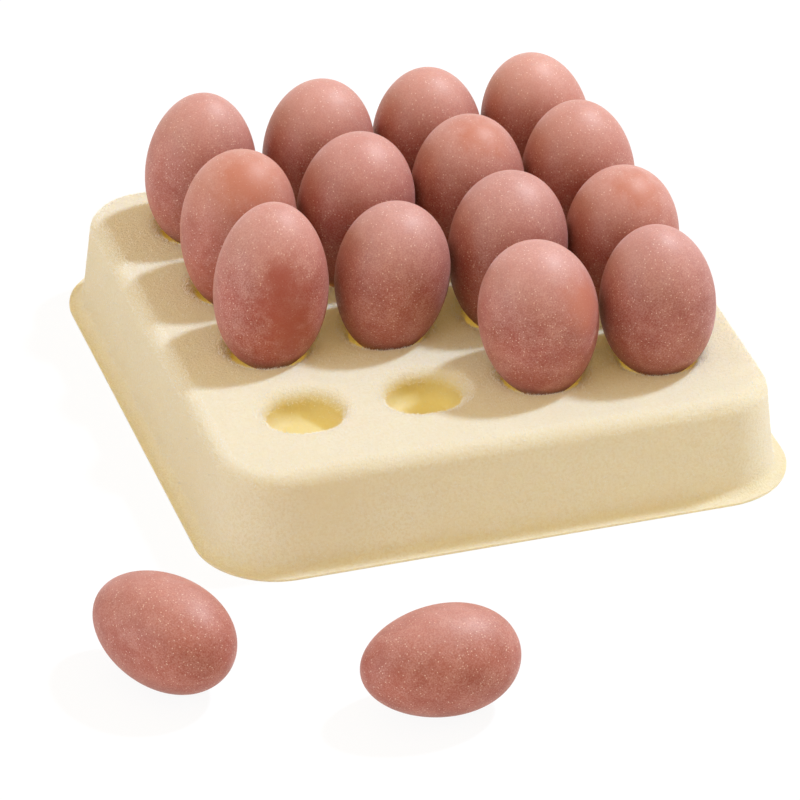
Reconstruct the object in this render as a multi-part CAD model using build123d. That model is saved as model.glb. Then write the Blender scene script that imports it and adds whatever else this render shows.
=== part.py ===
from build123d import *
import math
import os
from typing import NamedTuple

# Open egg tray with eggs, in millimetres, +Z up, standing on z = 0.
# The tray is one formed sheet: a flat top with round-lipped pockets, drafted side walls and
# a foot that flares out to a thin flat rim. It is hollow underneath. A pocket is a little
# longer along X than along Y, so an egg rests on its front and back lips. Each egg is a solid
# of its own: most stand in the pockets, and two lie on the surface in front of the tray.
# The origin is the middle of the whole set on that surface, with the tray's sides along X and Y.

# Sheet and outer shape of the tray
sheet = 0.9                # thickness, velvety coat included
tray_height = 40.0         # from the surface to the flat top
edge_margin = 46.25        # from the outer pockets' middles to the rim's edge
rim_corner = 31.0          # corner radius of the rim's edge
foot_reach = 5.0           # from the rim's edge to where the wall would meet the surface
foot_radius = 4.6          # hollow curve from wall to rim
wall_draft = 6.0           # degrees off upright
top_radius = 7.0           # rounding between wall and flat top

# Typical egg, which the pockets are spaced for
egg_length = 62.0
egg_breadth = 44.0
egg_spacing = 2.5          # air between two typical eggs in neighbouring pockets

# Pockets
columns = 4
rows = 4
pitch = egg_breadth + egg_spacing
grid_right = 2.4           # the pocket grid sits a little off the middle of the tray
grid_back = 4.9
pocket_stretch = 2.0       # along X, from a pocket's middle to the axis of each round end
mouth_radius = 18.5        # where the flat top starts to round into a pocket
lip_radius = 6.0           # that rounding
pocket_depth = 12.0
pocket_draft = 4.0         # degrees off upright, below the lip
floor_radius = 6.0         # rounding between a pocket's wall and floor
border = 1.0               # flat strip of the top that is made with each pocket

# Fit of an egg on its lips
seat_gap = 0.2             # air left under the egg where it would touch first

# Middles of the two eggs that lie on the surface, from the rim's front left corner
left_egg_right = -34.0
left_egg_front = 45.5
middle_egg_right = 55.5
middle_egg_front = 92.0

# How finely an egg is drawn and its seat is searched
outline_points = 12        # steps along an egg's drawn outline
search_rings = 60          # rings from an egg's lower end to its upper one
search_sides = 36          # points on each ring


class Egg(NamedTuple):
    """An egg's size against the typical one. A positive taper narrows its upper or leading end."""
    longer: float
    broader: float
    taper: float           # from the egg's middle to its broadest ring


class Seat(NamedTuple):
    """The pocket that an egg stands in, and how many degrees it leans there."""
    column: int            # from the left
    row: int               # from the front
    lean_right: float
    lean_back: float


class Spot(NamedTuple):
    """Where an egg lies: its middle from the rim's front left corner, and where it points."""
    right: float
    front: float
    heading: float         # degrees from +X towards +Y
    rise: float            # degrees above level


seated_eggs = [
    (Seat(2, 0, -4.5, 3.5), Egg(1.0, 1.5, -2.0)),
    (Seat(3, 0, -4.5, -3.0), Egg(1.5, 0.0, 1.5)),
    (Seat(0, 1, 5.0, 5.5), Egg(5.0, -0.5, 1.5)),
    (Seat(1, 1, 8.0, 0.5), Egg(0.0, -0.5, -2.0)),
    (Seat(2, 1, 7.5, 6.0), Egg(3.0, 1.5, -2.0)),
    (Seat(3, 1, 3.5, 0.0), Egg(0.0, -0.2, -1.5)),
    (Seat(0, 2, 8.0, 5.0), Egg(2.5, 0.3, -2.5)),
    (Seat(1, 2, 9.0, 3.0), Egg(2.5, 1.2, -1.5)),
    (Seat(2, 2, 5.0, 5.0), Egg(2.3, 0.3, -1.5)),
    (Seat(3, 2, -0.5, 3.0), Egg(1.0, 0.3, 1.0)),
    (Seat(0, 3, 4.0, 1.5), Egg(2.0, -0.7, 1.5)),
    (Seat(1, 3, 6.5, 0.5), Egg(1.5, -0.5, -1.0)),
    (Seat(2, 3, -0.5, -1.5), Egg(-1.0, -0.5, 1.0)),
    (Seat(3, 3, -8.0, -1.0), Egg(-1.0, -1.0, 1.0)),
]
lying_eggs = {
    "egg_lying_left": (
        Spot(left_egg_right, left_egg_front, 118.0, -1.0), Egg(-0.5, -3.0, 2.5)),
    "egg_lying_middle": (
        Spot(middle_egg_right, middle_egg_front, 179.0, -1.0), Egg(-3.0, -3.5, 2.5)),
}


# Sizes that follow
tray_x = (columns - 1) * pitch + 2 * edge_margin
tray_y = (rows - 1) * pitch + 2 * edge_margin


def slant(height, degrees):
    """How far a line that leans this many degrees off upright moves sideways over a height."""
    return height * math.tan(math.radians(degrees))


def sheet_section(skin):
    """The cut face of the sheet: a line along its upper skin, thickened downwards."""
    return Plane.XZ * make_face(offset(skin, amount=sheet, side=Side.LEFT).edges())


# Tray
def wall_section():
    """Rim, foot, wall and the edge of the flat top, measured outwards from a corner's axis."""
    foot = rim_corner - foot_reach
    top = foot - slant(tray_height - sheet, wall_draft)
    skin = FilletPolyline(
        (rim_corner, sheet), (foot, sheet), (top, tray_height), (0, tray_height),
        radius=[foot_radius, top_radius],
    )
    return sheet_section(skin)


def cover():
    """The tray without pockets: four turned corners, four straight runs and the sheet between."""
    section = wall_section()
    half_x = tray_x / 2 - rim_corner
    half_y = tray_y / 2 - rim_corner
    corner = revolve(section, Axis.Z, 90)
    body = Pos(0, 0, tray_height - sheet / 2) * Box(2 * half_x, 2 * half_y, sheet)
    for turn, reach, half_run in [(0, half_x, half_y), (90, half_y, half_x),
                                  (180, half_x, half_y), (270, half_y, half_x)]:
        run = extrude(section, amount=2 * half_run, dir=(0, 1, 0))
        body += Rot(0, 0, turn) * Pos(reach, -half_run) * run
        body += Rot(0, 0, turn) * Pos(reach, half_run) * corner
    return body


def pocket():
    """One pocket, with the flat top at height 0: two turned ends and a straight run each side."""
    brim = mouth_radius - lip_radius * math.tan(math.radians((90 - pocket_draft) / 2))
    skin = FilletPolyline(
        (mouth_radius + border, 0), (brim, 0),
        (brim - slant(pocket_depth, pocket_draft), -pocket_depth), (0, -pocket_depth),
        radius=[lip_radius, floor_radius],
    )
    section = sheet_section(skin)
    end = Pos(pocket_stretch, 0) * Rot(0, 0, -90) * revolve(section, Axis.Z, 180)
    run = extrude(section, amount=2 * pocket_stretch, dir=(0, -1, 0))
    half = end + Pos(-pocket_stretch, 0) * Rot(0, 0, 90) * run
    return half + Rot(0, 0, 180) * half


def pocket_middle(column, row):
    """The middle of a pocket's mouth, from the middle of the tray."""
    x = grid_right + (column - (columns - 1) / 2) * pitch
    y = grid_back + (row - (rows - 1) / 2) * pitch
    return Vector(x, y, tray_height)


def tray():
    """The whole tray as one sheet."""
    places = [Pos(pocket_middle(column, row)) for column in range(columns) for row in range(rows)]
    outline = SlotCenterToCenter(2 * pocket_stretch, 2 * (mouth_radius + border))
    opening = extrude(outline, amount=2 * sheet, both=True)
    cup = pocket()
    body = cover() - [place * opening for place in places]
    return body + [place * cup for place in places]


# Eggs
def egg_length_of(egg):
    return egg_length + egg.longer


def egg_breadth_of(egg):
    return egg_breadth + egg.broader


def egg_ring(egg, along):
    """The egg's radius at a distance from its middle towards its leading end."""
    length = egg_length_of(egg)
    shape = (length**2 - 4 * along**2) / (length**2 + 8 * egg.taper * along + 4 * egg.taper**2)
    return egg_breadth_of(egg) / 2 * math.sqrt(max(shape, 0))


def egg_rings(egg, count):
    """Radius and place of rings from the egg's lower end to its upper one, closer at the ends."""
    turns = [math.pi * number / count for number in range(count + 1)]
    places = [-egg_length_of(egg) / 2 * math.cos(turn) for turn in turns]
    return [(egg_ring(egg, place), place) for place in places]


def egg_solid(egg):
    """An egg turned about its long axis, with its middle at the origin and pointing up."""
    outline = egg_rings(egg, outline_points)
    half = make_face([Spline(*outline), Line(outline[-1], outline[0])])
    return revolve(Plane.XZ * half, Axis.Z)


def low_points(egg, frame):
    """Points spread over the lower half of a leaning egg, from its middle."""
    points = []
    for ring, place in egg_rings(egg, search_rings)[:search_rings // 2 + 1]:
        for number in range(search_sides):
            turn = 2 * math.pi * number / search_sides
            side = frame.x_dir * math.cos(turn) + frame.y_dir * math.sin(turn)
            points.append(frame.z_dir * place + side * ring)
    return points


def lip_height(x, y):
    """Height of the rounded lip above the flat top, at a place from the pocket's middle."""
    distance = math.hypot(max(abs(x) - pocket_stretch, 0), y)
    if not mouth_radius - lip_radius < distance < mouth_radius:
        return -pocket_depth
    return math.sqrt(lip_radius**2 - (mouth_radius - distance) ** 2) - lip_radius


def seat_frame(seat, egg):
    """Where a standing egg's middle and axis are, resting on the lips of its pocket.

    The egg rocks about the middle of its round lower end, so a lean also moves its middle.
    """
    lean = Vector(slant(1, seat.lean_right), slant(1, seat.lean_back), 1)
    arm = egg_length_of(egg) / 2 - egg_breadth_of(egg) ** 2 / (2 * egg_length_of(egg))
    aside = Vector(lean.X, lean.Y, 0) * arm
    points = low_points(egg, Plane(origin=(0, 0, 0), z_dir=lean))
    climb = max(lip_height(point.X + aside.X, point.Y + aside.Y) - point.Z for point in points)
    middle = pocket_middle(seat.column, seat.row) + aside + Vector(0, 0, climb + seat_gap)
    return Plane(origin=middle, z_dir=lean)


def spot_frame(spot, egg):
    """Where a lying egg's middle and axis are, with its lowest point on the surface."""
    heading = math.radians(spot.heading)
    axis = Vector(math.cos(heading), math.sin(heading), slant(1, spot.rise))
    level = Plane(origin=(0, 0, 0), z_dir=axis)
    middle_height = -(level * egg_solid(egg)).bounding_box().min.Z
    middle = Vector(spot.right - tray_x / 2, -spot.front - tray_y / 2, middle_height)
    return Plane(origin=middle, z_dir=axis)


def pieces():
    """Every piece by name, in the tray's own frame."""
    made = {"egg_tray": tray()}
    for seat, egg in seated_eggs:
        if seat.column < columns and seat.row < rows:
            name = f"egg_column_{seat.column + 1}_row_{seat.row + 1}"
            made[name] = seat_frame(seat, egg) * egg_solid(egg)
    for name, (spot, egg) in lying_eggs.items():
        made[name] = spot_frame(spot, egg) * egg_solid(egg)
    return made


def set_middle(made):
    """The middle of all pieces together, seen from above."""
    boxes = [piece.bounding_box() for piece in made.values()]
    x = (min(box.min.X for box in boxes) + max(box.max.X for box in boxes)) / 2
    y = (min(box.min.Y for box in boxes) + max(box.max.Y for box in boxes)) / 2
    return Vector(x, y, 0)


def main():
    made = pieces()
    middle = set_middle(made)
    os.makedirs("parts", exist_ok=True)
    for name, piece in made.items():
        export_step(Pos(-middle) * piece, f"parts/{name}.step")
    print(f"{len(made)} pieces, middle of the tray at x {-middle.X:.2f}, y {-middle.Y:.2f}")


main()
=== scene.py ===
# %% [markdown]
# # An open egg tray with sixteen eggs
#
# The tray is one sheet of polystyrene that was formed hot over a mould, with a coat of flock.
# Flock is very short upright fibre, and feels like velvet. Fourteen brown eggs stand in the
# tray's pockets and two lie in front of it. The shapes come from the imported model, in metres.
# This script gives them their finishes, and adds the loose fibres along the tray's rounded
# edges, a floor, studio light and a camera.

import math
import random

import bmesh
import bpy
from mathutils import Matrix, Vector
from mathutils.bvhtree import BVHTree


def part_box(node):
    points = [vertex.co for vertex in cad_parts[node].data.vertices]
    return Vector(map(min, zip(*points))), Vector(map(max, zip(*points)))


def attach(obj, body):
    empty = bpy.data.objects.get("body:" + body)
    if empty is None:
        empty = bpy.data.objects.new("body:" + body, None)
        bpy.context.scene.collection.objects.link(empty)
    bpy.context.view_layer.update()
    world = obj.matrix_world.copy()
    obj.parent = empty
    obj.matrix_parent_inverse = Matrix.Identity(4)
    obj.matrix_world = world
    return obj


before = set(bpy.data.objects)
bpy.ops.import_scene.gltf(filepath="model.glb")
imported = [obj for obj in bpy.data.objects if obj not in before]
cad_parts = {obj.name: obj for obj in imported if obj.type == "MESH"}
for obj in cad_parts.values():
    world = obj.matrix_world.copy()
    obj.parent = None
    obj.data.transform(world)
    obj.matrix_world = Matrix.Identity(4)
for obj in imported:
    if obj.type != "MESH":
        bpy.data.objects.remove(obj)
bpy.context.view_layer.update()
MM = 0.001
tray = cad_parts["egg_tray"]
egg_names = sorted(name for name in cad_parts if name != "egg_tray")

# %% [markdown]
# ## Two helpers
#
# A colour is easiest to pick as it looks on a screen, as a hex value, but the renderer mixes
# light, so it wants linear values. The first helper does that change in one place. The second
# adds a shader node, sets its values and joins its inputs, so that a material reads as a list.

# %% Colour and node helpers
def linear(hex_colour):
    """A screen colour such as "#f4e0b3" as the linear colour that the renderer mixes with."""
    channels = [int(hex_colour[start:start + 2], 16) / 255 for start in (1, 3, 5)]
    return [c / 12.92 if c <= 0.04045 else ((c + 0.055) / 1.055) ** 2.4 for c in channels] + [1]


def add(tree, kind, inputs=None, **settings):
    """One node with its settings. An input is a value or another node's output socket."""
    made = tree.nodes.new(kind)
    for name, value in settings.items():
        setattr(made, name, value)
    for name, value in (inputs or {}).items():
        if isinstance(value, bpy.types.NodeSocket):
            tree.links.new(value, made.inputs[name])
        else:
            made.inputs[name].default_value = value
    return made


print("cream in linear light:", [round(c, 3) for c in linear("#f4e0b3")])

# %% [markdown]
# ## Camera
#
# The picture was taken from the front and a little to the left, looking down by about 33
# degrees. The tray's far edge is hardly smaller than its near one, so the lens is long and the
# camera far away. A camera could be dragged into place by eye, but angles around the point that
# it looks at are easier to fit to a picture one at a time, so its place is worked out from them.

# %% Camera
view_turn = math.radians(-18.19)    # it stands left of the middle and so looks to the right
view_rise = math.radians(32.73)     # above level
view_roll = math.radians(0.78)
view_distance = 2.620
view_aim = Vector((0.0194, 0.0557, -0.0065))

view_turned = Matrix.Rotation(view_turn, 4, "Z") @ Matrix.Rotation(math.pi / 2 - view_rise, 4, "X")
view_back = view_turned @ Vector((0, 0, 1))
camera_data = bpy.data.cameras.new("long_lens")
camera_data.lens = 306
camera_data.sensor_width = 36
camera = bpy.data.objects.new("camera", camera_data)
camera.matrix_world = (
    Matrix.Translation(view_aim + view_back * view_distance)
    @ view_turned
    @ Matrix.Rotation(view_roll, 4, "Z")
)
bpy.context.scene.collection.objects.link(camera)
bpy.context.scene.camera = camera
bpy.context.scene.view_settings.view_transform = "Standard"
print("camera stands at", [round(c, 3) for c in camera.matrix_world.translation])

# %% [markdown]
# ## Light
#
# The key lamp stands to the right, a little behind the tray and 56 degrees up. Its place comes
# from the eggs' shadows on the tray's flat top. A sun lamp would cast them too, but the picture
# looks like a studio's, so it is a round lamp at a studio's distance. It is small for that
# distance, so the shadows have a fairly crisp edge. A wide, weak lamp low on the left lights
# the tray's left wall and puts a pale rim on the eggs. Everything else is an even, slightly
# warm room, which is the world's own light. The camera and reflections see that room as plain
# white.

# %% Lamps
def lamp(name, turn, rise, distance, size, power, colour):
    """A round lamp that shines at the tray. Turn is from +X towards +Y, rise is above level."""
    data = bpy.data.lights.new(name, "AREA")
    data.shape = "DISK"
    data.size = size
    data.energy = power
    data.color = linear(colour)[:3]
    made = bpy.data.objects.new(name, data)
    turn, rise = math.radians(turn), math.radians(rise)
    away = Vector((
        math.cos(turn) * math.cos(rise), math.sin(turn) * math.cos(rise), math.sin(rise)))
    turned = away.to_track_quat("Z", "Y").to_matrix().to_4x4()
    made.matrix_world = Matrix.Translation(view_aim + away * distance) @ turned
    bpy.context.scene.collection.objects.link(made)
    return made


key = lamp("key_lamp", turn=12.5, rise=56, distance=2.6, size=0.24, power=76, colour="#cbe2ff")
side = lamp("left_lamp", turn=188, rise=14, distance=2.4, size=1.6, power=25, colour="#bedaff")
print("key lamp", key.data.energy, "W, left lamp", side.data.energy, "W")

# %% Room light
room_light = 0.85


def seen_share(tree):
    """1 where the camera, a reflection or a clear material looks, and 0 for light that lights."""
    path = add(tree, "ShaderNodeLightPath")
    seen = add(tree, "ShaderNodeMath", {
        0: path.outputs["Is Camera Ray"], 1: path.outputs["Is Glossy Ray"]}, operation="MAXIMUM")
    return add(tree, "ShaderNodeMath", {
        0: seen.outputs[0], 1: path.outputs["Is Transmission Ray"]}, operation="MAXIMUM").outputs[0]


world = bpy.data.worlds.new("white_room")
bpy.context.scene.world = world
world.use_nodes = True
tree = world.node_tree
tree.nodes.clear()
lit = add(tree, "ShaderNodeBackground", {"Color": linear("#ffe7c1"), "Strength": room_light})
shown = add(tree, "ShaderNodeBackground", {"Color": (1, 1, 1, 1), "Strength": 1.0})
mixed = add(tree, "ShaderNodeMixShader", {
    0: seen_share(tree), 1: lit.outputs[0], 2: shown.outputs[0]})
add(tree, "ShaderNodeOutputWorld", {"Surface": mixed.outputs[0]})
print("room light", room_light)

# %% [markdown]
# ## Floor
#
# The floor is a plain white sweep of paper, which is matt and so shows no reflection of the
# tray. Brighter lamps would make it white in the picture, but they would bleach the tray too.
# So most of what the camera sees of it is a plain white glow, and the small rest is real paper
# that shows the shadows faintly.

# %% Floor
glow_seen = 0.9             # how much of the floor that the camera sees is glow
glow_strength = 1.02
floor_reach = 6             # metres, from the middle to an edge
floor_drop = 0.1 * MM       # just clear of what stands on it


def new_material(name):
    """An empty node material and its node tree."""
    made = bpy.data.materials.new(name)
    made.use_nodes = True
    made.node_tree.nodes.clear()
    return made, made.node_tree


paper, tree = new_material("white_paper")
glow_share = add(tree, "ShaderNodeMath", {0: seen_share(tree), 1: glow_seen}, operation="MULTIPLY")
matt = add(tree, "ShaderNodeBsdfDiffuse", {"Color": linear("#f2f2f0")})
glow = add(tree, "ShaderNodeEmission", {"Color": (1, 1, 1, 1), "Strength": glow_strength})
mixed = add(tree, "ShaderNodeMixShader", {
    0: glow_share.outputs[0], 1: matt.outputs[0], 2: glow.outputs[0]})
add(tree, "ShaderNodeOutputMaterial", {"Surface": mixed.outputs[0]})

floor_mesh = bpy.data.meshes.new("floor")
sweep = bmesh.new()
bmesh.ops.create_grid(sweep, x_segments=1, y_segments=1, size=floor_reach)
sweep.to_mesh(floor_mesh)
sweep.free()
floor_mesh.materials.append(paper)
floor = bpy.data.objects.new("floor", floor_mesh)
floor.location.z = -floor_drop
bpy.context.scene.collection.objects.link(floor)
print("floor laid,", 2 * floor_reach, "m wide")

# %% [markdown]
# ## The tray's finish
#
# The sheet is thermoformed polystyrene with a coat of flock, about half a millimetre of upright
# rayon fibre. Millions of fibres would be too heavy as geometry, so layers of one material
# stand for them. Fibres scatter light at grazing angles, which is what the sheen layer is for.
# Light soaks in between them and comes out a little further on, which the subsurface layer
# does. That gives the eye a dry, soft surface with a pale edge. The sheet under the coat is
# thin, so some light shines right through it, and the translucent layer adds that. It is why
# the gaps round the eggs look golden and not black.
#
# Forming stretches the sheet most in the pockets. The coat is thin there, so a pocket's inside
# is smoother and yellower than the top, and it lets more light through. The pockets could be a
# material of their own, but the change is gradual, so a mask blends the two: it picks out
# everything inside the grid of pockets that lies below the flat top.

# %% Where the pockets are
tray_low, tray_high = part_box("egg_tray")
tray_middle = (Vector(tray_low) + Vector(tray_high)) / 2
flat_top = tray_high[2]
thinning_starts = flat_top - 1.2 * MM   # height at which the coat starts to thin in a pocket
thinning_ends = flat_top - 6.5 * MM
grid_reach = 96 * MM    # from the tray's middle to the edge of the grid of pockets

flock, tree = new_material("flocked_polystyrene")
place = add(tree, "ShaderNodeTexCoord").outputs["Object"]
apart = add(tree, "ShaderNodeSeparateXYZ", {0: place})
depth = add(tree, "ShaderNodeMapRange", {
    "Value": apart.outputs["Z"], "From Min": thinning_starts, "From Max": thinning_ends,
    "To Min": 0.0, "To Max": 1.0}, interpolation_type="SMOOTHSTEP")
from_middle = add(tree, "ShaderNodeVectorMath", {0: place, 1: tray_middle}, operation="SUBTRACT")
from_middle = add(tree, "ShaderNodeVectorMath", {0: from_middle.outputs[0]}, operation="ABSOLUTE")
from_middle = add(tree, "ShaderNodeSeparateXYZ", {0: from_middle.outputs[0]})
furthest = add(tree, "ShaderNodeMath", {
    0: from_middle.outputs["X"], 1: from_middle.outputs["Y"]}, operation="MAXIMUM")
in_grid = add(tree, "ShaderNodeMath", {
    0: furthest.outputs[0], 1: grid_reach}, operation="LESS_THAN")
pocket = add(tree, "ShaderNodeMath", {
    0: depth.outputs[0], 1: in_grid.outputs[0]}, operation="MULTIPLY").outputs[0]
print("flat top at", round(flat_top / MM, 2), "mm")

# %% The coat's pattern and colours
clump_size = 1.1 * MM       # tufts of fibre, drawn coarser than real ones so that they show
tip_size = 0.42 * MM        # the tips of single fibres, drawn coarser too
drift_size = 30 * MM        # slow change of tone over the sheet
# painted light: the flat top is painted paler towards its highest part, for the key lamp's light
# that falls on it
painted_light_starts = flat_top - 5 * MM
painted_light_ends = flat_top - 0.3 * MM
painted_light_share = 0.30           # how far the flat top takes on its paler tone
clump_weight = 2.0          # how much higher the tufts stand than the tips

clump = add(tree, "ShaderNodeTexNoise", {
    "Vector": place, "Scale": 1 / clump_size, "Detail": 3.0, "Roughness": 0.7})
tips = add(tree, "ShaderNodeTexNoise", {
    "Vector": place, "Scale": 1 / tip_size, "Detail": 1.0, "Roughness": 0.5})
drift = add(tree, "ShaderNodeTexNoise", {
    "Vector": place, "Scale": 1 / drift_size, "Detail": 2.0})
tuft_shade_and_grain = add(tree, "ShaderNodeMapRange", {
    "Value": clump.outputs[0], "From Min": 0.38, "From Max": 0.56, "To Min": 0.0, "To Max": 1.0})
# cream, painted deeper between the tufts and paler on them: painted shade in the hollows of the
# tufts' bump, in a random grain
coat = add(tree, "ShaderNodeMix", {
    0: tuft_shade_and_grain.outputs[0], 6: linear("#f1e2bf"), 7: linear("#fffaea")}, data_type="RGBA")
coat = add(tree, "ShaderNodeMix", {
    0: drift.outputs[0], 6: coat.outputs[2], 7: linear("#f5e8ca")}, data_type="RGBA")
# painted highlight on the flat top
painted_light_top = add(tree, "ShaderNodeMapRange", {
    "Value": apart.outputs["Z"], "From Min": painted_light_starts, "From Max": painted_light_ends,
    "To Min": 0.0, "To Max": painted_light_share}, interpolation_type="SMOOTHSTEP")
coat = add(tree, "ShaderNodeMix", {
    0: painted_light_top.outputs[0], 6: coat.outputs[2], 7: linear("#fffaf0")}, data_type="RGBA")
# yellower where the coat is thin, with the same painted shade between the tufts
bare = add(tree, "ShaderNodeMix", {
    0: tuft_shade_and_grain.outputs[0], 6: linear("#f5e9b8"), 7: linear("#faf2ca")}, data_type="RGBA")
print("tufts", round(clump_size / MM, 2), "mm, tips", round(tip_size / MM, 2), "mm")

# %% The sheet's layers
coat_relief = 0.34 * MM     # height of the tufts
thin_relief = 0.05 * MM     # and what is left of it in a pocket
coat_soak = 2.2 * MM        # how far light spreads inside the coat
thin_soak = 5.0 * MM        # and where the coat is thin
coat_through = 0.34         # share of the light that shines through the coated sheet
thin_through = 0.64         # and through a pocket's

height = add(tree, "ShaderNodeMath", {
    0: clump.outputs[0], 1: clump_weight, 2: tips.outputs[0]}, operation="MULTIPLY_ADD")
bump = add(tree, "ShaderNodeBump", {
    "Height": height.outputs[0], "Strength": 1.0, "Distance": coat_relief})
soft_bump = add(tree, "ShaderNodeBump", {
    "Height": clump.outputs[0], "Strength": 1.0, "Distance": thin_relief})
velvet = add(tree, "ShaderNodeBsdfPrincipled", {
    "Base Color": coat.outputs[2], "Roughness": 0.85, "Specular IOR Level": 0.3,
    "Sheen Weight": 0.9, "Sheen Roughness": 0.45, "Sheen Tint": linear("#fffaf0"),
    "Subsurface Weight": 0.35, "Subsurface Radius": (1.0, 0.72, 0.36),
    "Subsurface Scale": coat_soak, "Normal": bump.outputs[0]})
satin = add(tree, "ShaderNodeBsdfPrincipled", {
    "Base Color": bare.outputs[2], "Roughness": 0.5, "Specular IOR Level": 0.4,
    "Subsurface Weight": 0.6, "Subsurface Radius": (1.0, 0.72, 0.30),
    "Subsurface Scale": thin_soak, "Normal": soft_bump.outputs[0]})
skin = add(tree, "ShaderNodeMixShader", {0: pocket, 1: velvet.outputs[0], 2: satin.outputs[0]})
through = add(tree, "ShaderNodeBsdfTranslucent", {"Color": linear("#ffeca6")})
through_share = add(tree, "ShaderNodeMapRange", {
    "Value": pocket, "From Min": 0.0, "From Max": 1.0,
    "To Min": coat_through, "To Max": thin_through})
skin = add(tree, "ShaderNodeMixShader", {
    0: through_share.outputs[0], 1: skin.outputs[0], 2: through.outputs[0]})
add(tree, "ShaderNodeOutputMaterial", {"Surface": skin.outputs[0]})
print("nodes in the sheet's material:", len(tree.nodes))

# %% Dress the tray
def dress(name, finish):
    """Gives a CAD node one material."""
    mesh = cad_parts[name].data
    mesh.materials.clear()
    mesh.materials.append(finish)


dress("egg_tray", flock)
print("tray dressed in", flock.name)

# %% [markdown]
# ## Loose fibres
#
# Flock stands out as fine hairs where the sheet bends: along the pockets' lips, the tray's top
# edge and its foot. A hair curve for each would be lost when the model is exported, and a bump
# in the material can't change an outline. So the fibres are a mesh, which shows as fuzz against
# the eggs and the white floor. Each is a spike with three sides. Places on the outer skin are
# picked at random by area, more of them where the sheet is rounded, and a fibre that would
# reach an egg is cut short.

# %% Where the fibres stand
bare_below = 3 * MM         # the rim has none
lip_depth = 5.5 * MM        # lips and top edge, measured down from the flat top
foot_height = 8 * MM
# how far a face looks up: 1 is level, 0 is upright, and less is the sheet's underside
least_upward = 0.03
lip_upward = 0.12
foot_upward = 0.15
level_upward = 0.985        # from here on a face counts as level
# how thickly fibres stand, against the lips
foot_share = 0.35
plain_share = 0.10

mesh = tray.data
mesh.calc_loop_triangles()
corners, weights = [], []
for face in mesh.loop_triangles:
    upward = face.normal.z
    spots = [mesh.vertices[index].co for index in face.vertices]
    height = sum(spot.z for spot in spots) / 3
    if upward < least_upward or height < bare_below:
        continue
    if lip_upward < upward < level_upward and height > flat_top - lip_depth:
        share = 1.0
    elif foot_upward < upward < level_upward and height < foot_height:
        share = foot_share
    else:
        share = plain_share
    corners.append(spots)
    weights.append(face.area * share)
print("faces that carry fibres:", len(corners))

# %% Grow the fibres
fibre_count = 60000
fibre_lengths = 0.5, 1.15   # millimetres, as are the next five
fibre_radius = 0.07         # a real one is about a tenth of that, which wouldn't show
fibre_root = 0.05           # how far it starts below the skin
shortest_fibre = 0.15
egg_clearance = 0.06
search_reach = 3            # an egg that is further off doesn't matter
tested_shares = 0.3, 0.65, 1.0    # of its length, where a fibre is held against the eggs
fibre_lean = 0.45           # how far a tip strays for each unit of length
cut = 0.7                   # what is left of a fibre each time it is cut

random.seed(7)
standing_eggs = [BVHTree.FromObject(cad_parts[name], bpy.context.evaluated_depsgraph_get())
                 for name in egg_names if name.startswith("egg_column")]


def touches(root, out, length):
    """Whether a fibre would come within a few hundredths of a millimetre of an egg."""
    for egg in standing_eggs:
        for share in tested_shares:
            point = root + out * length * share
            nearest, normal, _, _ = egg.find_nearest(point, search_reach * MM)
            if nearest is not None and (point - nearest).dot(normal) < egg_clearance * MM:
                return True
    return False


fibres = bmesh.new()
for spots in random.choices(corners, weights, k=fibre_count):
    first, second = sorted((random.random(), random.random()))
    root = spots[0] * first + spots[1] * (second - first) + spots[2] * (1 - second)
    out = (spots[1] - spots[0]).cross(spots[2] - spots[0]).normalized()
    if out.z < 0:
        out.negate()
    out = (out + Vector([random.gauss(0, fibre_lean) for _ in range(3)])).normalized()
    length = random.uniform(*fibre_lengths) * MM
    while length > shortest_fibre * MM and touches(root, out, length):
        length *= cut
    if length <= shortest_fibre * MM:
        continue
    across = out.orthogonal().normalized() * fibre_radius * MM
    turned = Matrix.Rotation(2 * math.pi / 3, 3, out)
    ring = []
    for _ in range(3):
        ring.append(fibres.verts.new(root - out * fibre_root * MM + across))
        across = turned @ across
    tip = fibres.verts.new(root + out * length)
    for number in range(3):
        fibres.faces.new((ring[number], ring[(number + 1) % 3], tip))
print("fibres:", len(fibres.faces) // 3)

# %% Dress the fibres
fibre, tree = new_material("flock_fibre")
# single rayon fibres are a little shinier than the coat, so they catch the light
strand = add(tree, "ShaderNodeBsdfPrincipled", {
    "Base Color": linear("#fffdf4"), "Roughness": 0.5, "Specular IOR Level": 0.5})
add(tree, "ShaderNodeOutputMaterial", {"Surface": strand.outputs[0]})

fibre_mesh = bpy.data.meshes.new("flock_fibres")
fibres.to_mesh(fibre_mesh)
fibres.free()
fibre_mesh.materials.append(fibre)
fuzz = bpy.data.objects.new("flock_fibres", fibre_mesh)
bpy.context.scene.collection.objects.link(fuzz)
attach(fuzz, "root")
print("triangles in the fibres:", len(fibre_mesh.polygons))

# %% [markdown]
# ## The eggs' finish
#
# A brown hen's egg is coloured in the shell's outermost layer, and over that lies a dry, pale
# bloom that rubs off. So each egg has a brown ground that drifts between two tones, a fine
# pinkish bloom in clouds, and tiny pale specks of extra lime. Towards the top the brown is
# painted paler, a painted highlight for the light that falls on the upper half. On five eggs
# some of the bloom is rubbed away, and another brown shows there. The shell is faintly
# translucent, and its pores give the eye a soft, broken gleam instead of a sharp one. Pictures
# of eggs could be wrapped round them, but they would stretch at the ends, and a solid pattern
# has no ends. Every egg gets its own browns and its own piece of the pattern, because no two
# eggs in a tray match.

# %% Rubbed places
edge_wander = 16 * MM       # how far the clouds of bloom push a rubbed place's edge inwards
fade_starts = 2             # millimetres beyond a place's reach, that push included
fade_ends = 14
bloom_left = 0.25           # in the middle of a rubbed place


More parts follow.
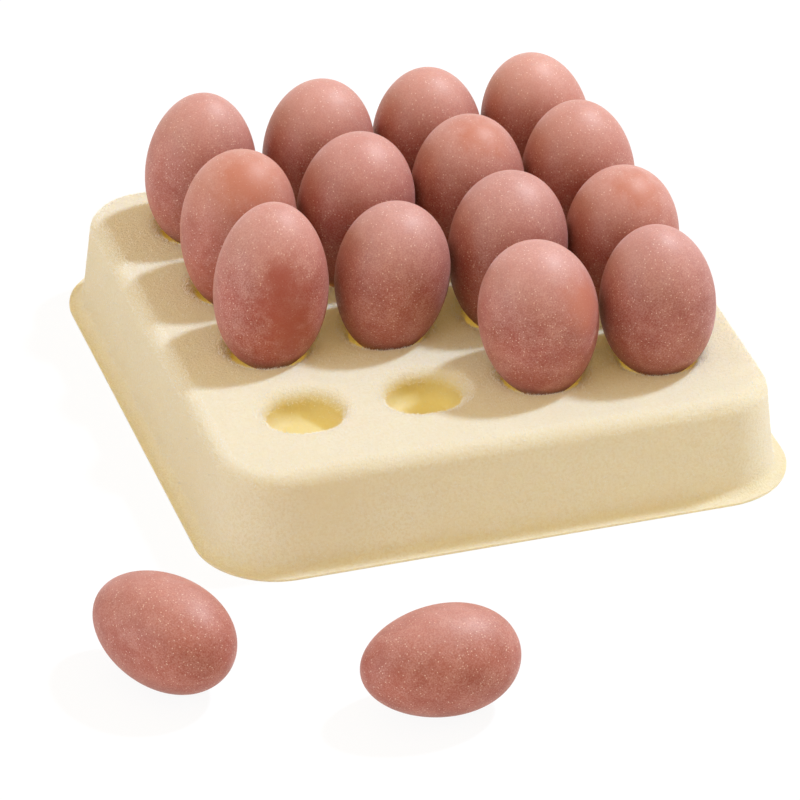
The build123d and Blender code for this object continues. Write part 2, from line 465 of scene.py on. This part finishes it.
def whole_share(tree, place, drift, rubbed):
    """1 where the bloom is whole, less in the rubbed places.

    A place is (x, y, z, reach) in millimetres from the egg's middle.
    """
    whole = 1.0
    for x, y, z, reach in rubbed:
        away = add(tree, "ShaderNodeVectorMath", {
            0: place, 1: (x * MM, y * MM, z * MM)}, operation="DISTANCE").outputs["Value"]
        ragged = add(tree, "ShaderNodeMath", {
            0: drift, 1: edge_wander, 2: away}, operation="MULTIPLY_ADD").outputs[0]
        kept = add(tree, "ShaderNodeMapRange", {
            "Value": ragged,
            "From Min": (reach + fade_starts) * MM, "From Max": (reach + fade_ends) * MM,
            "To Min": bloom_left, "To Max": 1.0}, interpolation_type="SMOOTHSTEP").outputs[0]
        whole = add(tree, "ShaderNodeMath", {0: whole, 1: kept}, operation="MULTIPLY").outputs[0]
    return whole


print("a rubbed place fades out over", fade_ends - fade_starts, "mm")

# %% Specks of lime
speck_cell = 1.0 * MM       # at most one speck in a cell of this size
speck_chance = 0.30         # and in this share of the cells
speck_core = 0.12           # radius of its full strength, and of its edge, as shares of the cell
speck_edge = 0.30
speck_strength = 0.55
lime_tone = "#f0d6c2"


def speck_share(tree, own):
    """How much lime shows: full at a speck's core, none beyond its edge."""
    cells = add(tree, "ShaderNodeTexVoronoi", {"Vector": own, "Scale": 1 / speck_cell})
    chosen = add(tree, "ShaderNodeSeparateColor", {0: cells.outputs["Color"]})
    chosen = add(tree, "ShaderNodeMath", {
        0: chosen.outputs[0], 1: 1 - speck_chance}, operation="GREATER_THAN")
    dot = add(tree, "ShaderNodeMapRange", {
        "Value": cells.outputs["Distance"], "From Min": speck_core, "From Max": speck_edge,
        "To Min": speck_strength, "To Max": 0.0})
    return add(tree, "ShaderNodeMath", {
        0: dot.outputs[0], 1: chosen.outputs[0]}, operation="MULTIPLY").outputs[0]


print("specks up to", round(2 * speck_edge * speck_cell / MM, 2), "mm across")

# %% Shell colour
cloud_size = 16 * MM        # drift of the brown
bloom_tone = "#d8aa9c"
bloom_size = 7 * MM         # clouds of bloom
grain_size = 0.6 * MM       # their grain, drawn coarser than it is so that it shows
grain_weight = 2.2          # how much the grain counts against the clouds
# painted light: each egg's brown turns paler towards its top, where the light falls
egg_light_starts = 3 * MM       # above the egg's middle
egg_light_ends = 32 * MM
egg_light_share = 0.70          # how far the top takes on its own tone


def shell_colour(tree, place, own, browns, bloom_share, rub, rubbed):
    """The shell's colour, how dusty it is and its specks, as three sockets."""
    ground, deep, lit_top = browns
    clouds = add(tree, "ShaderNodeTexNoise", {
        "Vector": own, "Scale": 1 / cloud_size, "Detail": 3.0, "Roughness": 0.55})
    tone = add(tree, "ShaderNodeMapRange", {
        "Value": clouds.outputs[0], "From Min": 0.36, "From Max": 0.66,
        "To Min": 0.0, "To Max": 1.0})
    brown = add(tree, "ShaderNodeMix", {
        0: tone.outputs[0], 6: linear(ground), 7: linear(deep)}, data_type="RGBA")
    # painted highlight: paler towards the top
    rise = add(tree, "ShaderNodeSeparateXYZ", {0: place})
    rise = add(tree, "ShaderNodeMapRange", {
        "Value": rise.outputs["Z"], "From Min": egg_light_starts, "From Max": egg_light_ends,
        "To Min": 0.0, "To Max": egg_light_share}, interpolation_type="SMOOTHSTEP")
    brown = add(tree, "ShaderNodeMix", {
        0: rise.outputs[0], 6: brown.outputs[2], 7: linear(lit_top)}, data_type="RGBA")

    # the bloom lies in clouds that break up into grains
    drift = add(tree, "ShaderNodeTexNoise", {
        "Vector": own, "Scale": 1 / bloom_size, "Detail": 4.0, "Roughness": 0.6,
        "Distortion": 0.4}).outputs[0]
    grain = add(tree, "ShaderNodeTexNoise", {
        "Vector": own, "Scale": 1 / grain_size, "Detail": 3.0, "Roughness": 0.75})
    dusty = add(tree, "ShaderNodeMath", {
        0: grain.outputs[0], 1: grain_weight, 2: drift}, operation="MULTIPLY_ADD")
    dusty = add(tree, "ShaderNodeMapRange", {
        "Value": dusty.outputs[0], "From Min": 1.25, "From Max": 2.15,
        "To Min": 0.0, "To Max": bloom_share}, interpolation_type="SMOOTHSTEP").outputs[0]
    dot = speck_share(tree, own)
    if rubbed:
        whole = whole_share(tree, place, drift, rubbed)
        dusty = add(tree, "ShaderNodeMath", {0: dusty, 1: whole}, operation="MULTIPLY").outputs[0]
        dot = add(tree, "ShaderNodeMath", {0: dot, 1: whole}, operation="MULTIPLY").outputs[0]
        brown = add(tree, "ShaderNodeMix", {
            0: whole, 6: linear(rub), 7: brown.outputs[2]}, data_type="RGBA")
    shell = add(tree, "ShaderNodeMix", {
        0: dusty, 6: brown.outputs[2], 7: linear(bloom_tone)}, data_type="RGBA")
    shell = add(tree, "ShaderNodeMix", {
        0: dot, 6: shell.outputs[2], 7: linear(lime_tone)}, data_type="RGBA")
    return shell.outputs[2], dusty, dot


print("bloom in clouds of", round(bloom_size / MM), "mm and grains of", round(grain_size / MM, 2))

# %% Eggshell
pattern_turn = 0.07         # radians for each millimetre that an egg's pattern is moved
pore_size = 0.55 * MM
wave_size = 4 * MM
shell_relief = 0.035 * MM   # of the pores, which the next two are weighed against
wave_weight = 2.2
speck_weight = 0.8
shell_soak = 3.0 * MM       # how far light spreads inside the shell


def eggshell(name, browns, bloom_share, rub, rubbed, offset):
    """One egg's material. The offset moves and turns the pattern so that each egg has its own."""
    made, tree = new_material("eggshell_" + name)
    low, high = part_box(name)
    middle = (Vector(low) + Vector(high)) / 2
    place = add(tree, "ShaderNodeTexCoord").outputs["Object"]
    place = add(tree, "ShaderNodeVectorMath", {
        0: place, 1: middle}, operation="SUBTRACT").outputs[0]
    own = add(tree, "ShaderNodeMapping", {
        "Vector": place, "Location": [value * MM for value in offset],
        "Rotation": [value * pattern_turn for value in offset]}).outputs[0]
    colour, dusty, dot = shell_colour(tree, place, own, browns, bloom_share, rub, rubbed)

    # bloom is a little rougher than the shell under it
    rough = add(tree, "ShaderNodeMapRange", {
        "Value": dusty, "From Min": 0.0, "From Max": 1.0, "To Min": 0.54, "To Max": 0.60})
    pores = add(tree, "ShaderNodeTexNoise", {
        "Vector": own, "Scale": 1 / pore_size, "Detail": 2.0, "Roughness": 0.6})
    waves = add(tree, "ShaderNodeTexNoise", {
        "Vector": own, "Scale": 1 / wave_size, "Detail": 2.0})
    relief = add(tree, "ShaderNodeMath", {
        0: waves.outputs[0], 1: wave_weight, 2: pores.outputs[0]}, operation="MULTIPLY_ADD")
    relief = add(tree, "ShaderNodeMath", {
        0: dot, 1: speck_weight, 2: relief.outputs[0]}, operation="MULTIPLY_ADD")
    bump = add(tree, "ShaderNodeBump", {
        "Height": relief.outputs[0], "Strength": 1.0, "Distance": shell_relief})
    skin = add(tree, "ShaderNodeBsdfPrincipled", {
        "Base Color": colour, "Roughness": rough.outputs[0],
        "Specular IOR Level": 0.7, "Specular Tint": linear("#fff0d8"),
        "Sheen Weight": 0.16, "Sheen Roughness": 0.4, "Sheen Tint": linear("#ffe6dc"),
        "Subsurface Weight": 0.2, "Subsurface Radius": (1.0, 0.35, 0.18),
        "Subsurface Scale": shell_soak, "Normal": bump.outputs[0]})
    add(tree, "ShaderNodeOutputMaterial", {"Surface": skin.outputs[0]})
    return made


print("pores", round(pore_size / MM, 2), "mm, waves", round(wave_size / MM), "mm")

# %% Dress the eggs
# ground brown, deeper brown and the painted paler top (a painted highlight) of each egg, and how
# much bloom it has
looks = {
    "egg_column_1_row_4": ("#9f4d40", "#924133", "#c79083", 0.40),
    "egg_column_2_row_4": ("#a14f42", "#944335", "#ca9385", 0.36),
    "egg_column_3_row_4": ("#a14e41", "#944234", "#ca9283", 0.36),
    "egg_column_4_row_4": ("#a55445", "#984737", "#ce9888", 0.38),
    "egg_column_1_row_3": ("#a14b3a", "#943e2d", "#c98f7c", 0.34),
    "egg_column_2_row_3": ("#9c483c", "#8f3c31", "#c58c80", 0.36),
    "egg_column_3_row_3": ("#9c483b", "#8e3b30", "#c68d7e", 0.36),
    "egg_column_4_row_3": ("#9e4c3e", "#913f32", "#c89081", 0.36),
    "egg_column_1_row_2": ("#9c4639", "#8a3427", "#c78f82", 0.46),
    "egg_column_2_row_2": ("#994a3f", "#8d3f35", "#c48f84", 0.42),
    "egg_column_3_row_2": ("#934339", "#85372b", "#c18a7f", 0.38),
    "egg_column_4_row_2": ("#9f4d3e", "#934032", "#c99182", 0.36),
    "egg_column_3_row_1": ("#9a4b41", "#8e4036", "#c79185", 0.44),
    "egg_column_4_row_1": ("#96473c", "#893b30", "#c28b80", 0.40),
    "egg_lying_left": ("#9d4b3b", "#913d2e", "#c78e7e", 0.38),
    "egg_lying_middle": ("#9f4f40", "#934233", "#c89182", 0.40),
}
# the brown that shows in an egg's rubbed places, and where they are
rubs = {
    "egg_column_1_row_3": ("#b4674b", [(0, -10, 27, 11)]),
    "egg_column_3_row_3": ("#b4674b", [(3, -6, 28, 8)]),
    "egg_column_4_row_2": ("#b4674b", [(3, -8, 27, 8)]),
    "egg_column_3_row_1": ("#b46850", [(13, -15, 14, 9)]),
    "egg_column_1_row_2": ("#983f2e", [
        (1, -21, -10, 8), (-1, -21.5, 2, 10), (0, -19, 14, 7)]),
}
for number, name in enumerate(egg_names):
    # steps that share no factor with 100 spread the offsets over 100 mm without repeating
    offset = (number * 37 % 100, number * 61 % 100, number * 83 % 100)
    *browns, bloom_share = looks[name]
    rub, rubbed = rubs.get(name, (None, []))
    dress(name, eggshell(name, browns, bloom_share, rub, rubbed, offset))
print("eggs dressed:", len(egg_names), "of them with rubbed places:", len(rubs))
